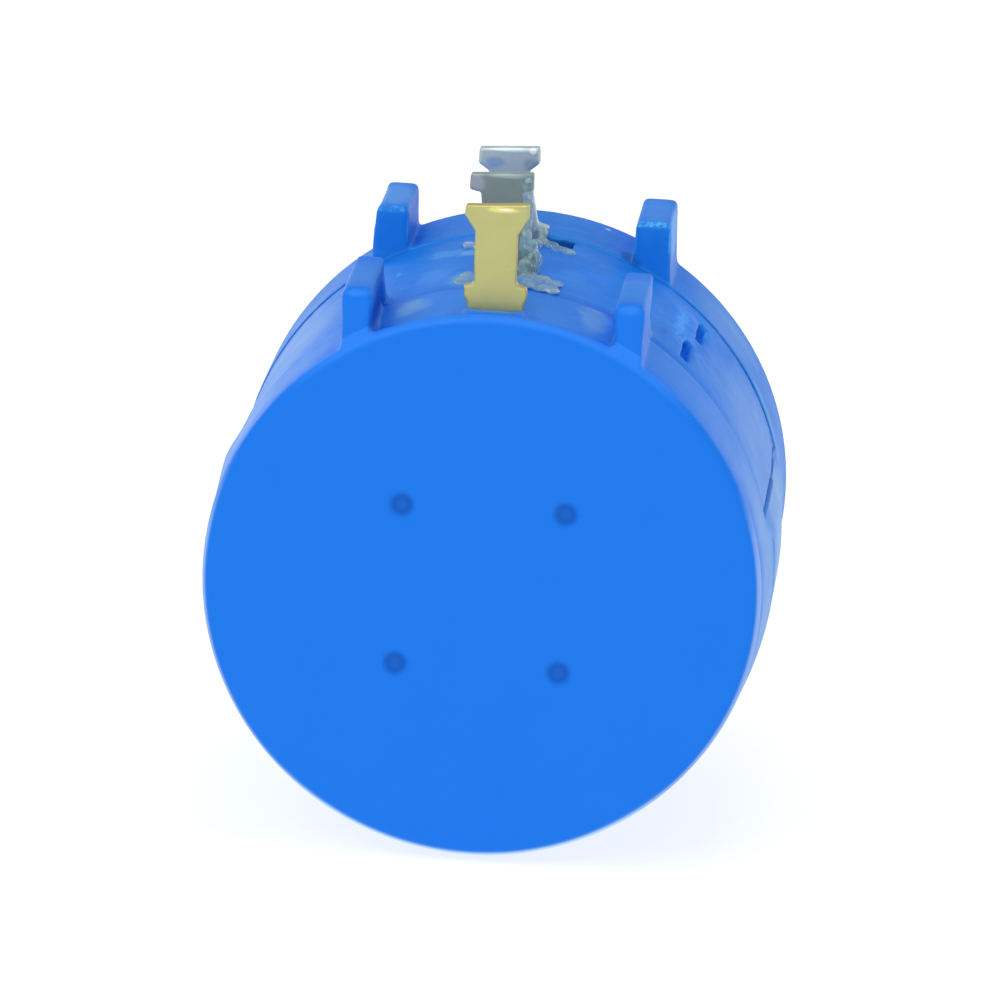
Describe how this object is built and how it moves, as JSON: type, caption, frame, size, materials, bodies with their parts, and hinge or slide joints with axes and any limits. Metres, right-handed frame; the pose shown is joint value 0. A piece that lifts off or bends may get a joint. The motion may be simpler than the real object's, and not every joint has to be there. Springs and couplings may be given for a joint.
{
  "type": "multiturn potentiometer",
  "caption": "Round panel-mounted wirewound potentiometer whose shaft turns many times; solder terminals stand in a row between guard ears on its side.",
  "frame": {"origin": "centre of the mounting face, where the bushing meets the panel", "axes": "+Y along the shaft, out of the panel towards the knob; +Z towards the terminals; +X to the right when seen from behind the body"},
  "size_m": [0.0226, 0.0397, 0.0265],
  "materials": {
    "housing_plastic": "satin moulded",
    "nickel_plate": "nickel plated",
    "shaft_steel": "turned",
    "spring_steel": "plain",
    "rotor_plastic": "moulded",
    "carriage_plastic": "moulded",
    "contact_brass": "bright",
    "wound_wire": "closely wound enamelled wire",
    "tin_plate": "dull tin plated",
    "gold_plate": "gold plated",
    "sealing_resin": "clear, glossy"
  },
  "bodies": {
    "housing": {"front_housing": "housing_plastic", "coil_housing": "housing_plastic", "rear_cover": "housing_plastic", "bushing": "nickel_plate", "resistance_coil": "wound_wire", "ccw_terminal": "tin_plate", "cw_terminal": "tin_plate", "wiper_terminal": "gold_plate", "ccw_end_strap": "tin_plate", "cw_end_strap": "tin_plate", "slip_brush": "contact_brass", "terminal_resin": "sealing_resin"},
    "shaft_rotor": {"shaft": "shaft_steel", "thrust_washer": "spring_steel", "retaining_ring": "spring_steel", "rotor": "rotor_plastic", "guide_rod_left": "shaft_steel", "guide_rod_right": "shaft_steel", "slip_ring": "contact_brass"},
    "carriage": {"wiper_carriage": "carriage_plastic", "wiper_contact": "contact_brass", "rod_contact": "contact_brass"}
  },
  "joints": [
    {"name": "shaft_turn", "type": "hinge", "parent": "housing", "child": "shaft_rotor", "pos_m": [0, 0, 0], "axis": [0, 1, 0], "range_deg": [-1800, 1800]},
    {"name": "carriage_travel", "type": "slide", "parent": "shaft_rotor", "child": "carriage", "axis": [0, 1, 0], "range_m": [-0.0045, 0.0045]}
  ],
  "couplings": [
    {"joint": "carriage_travel", "follows": "shaft_turn", "m_per_rad": 0.00014324}
  ]
}
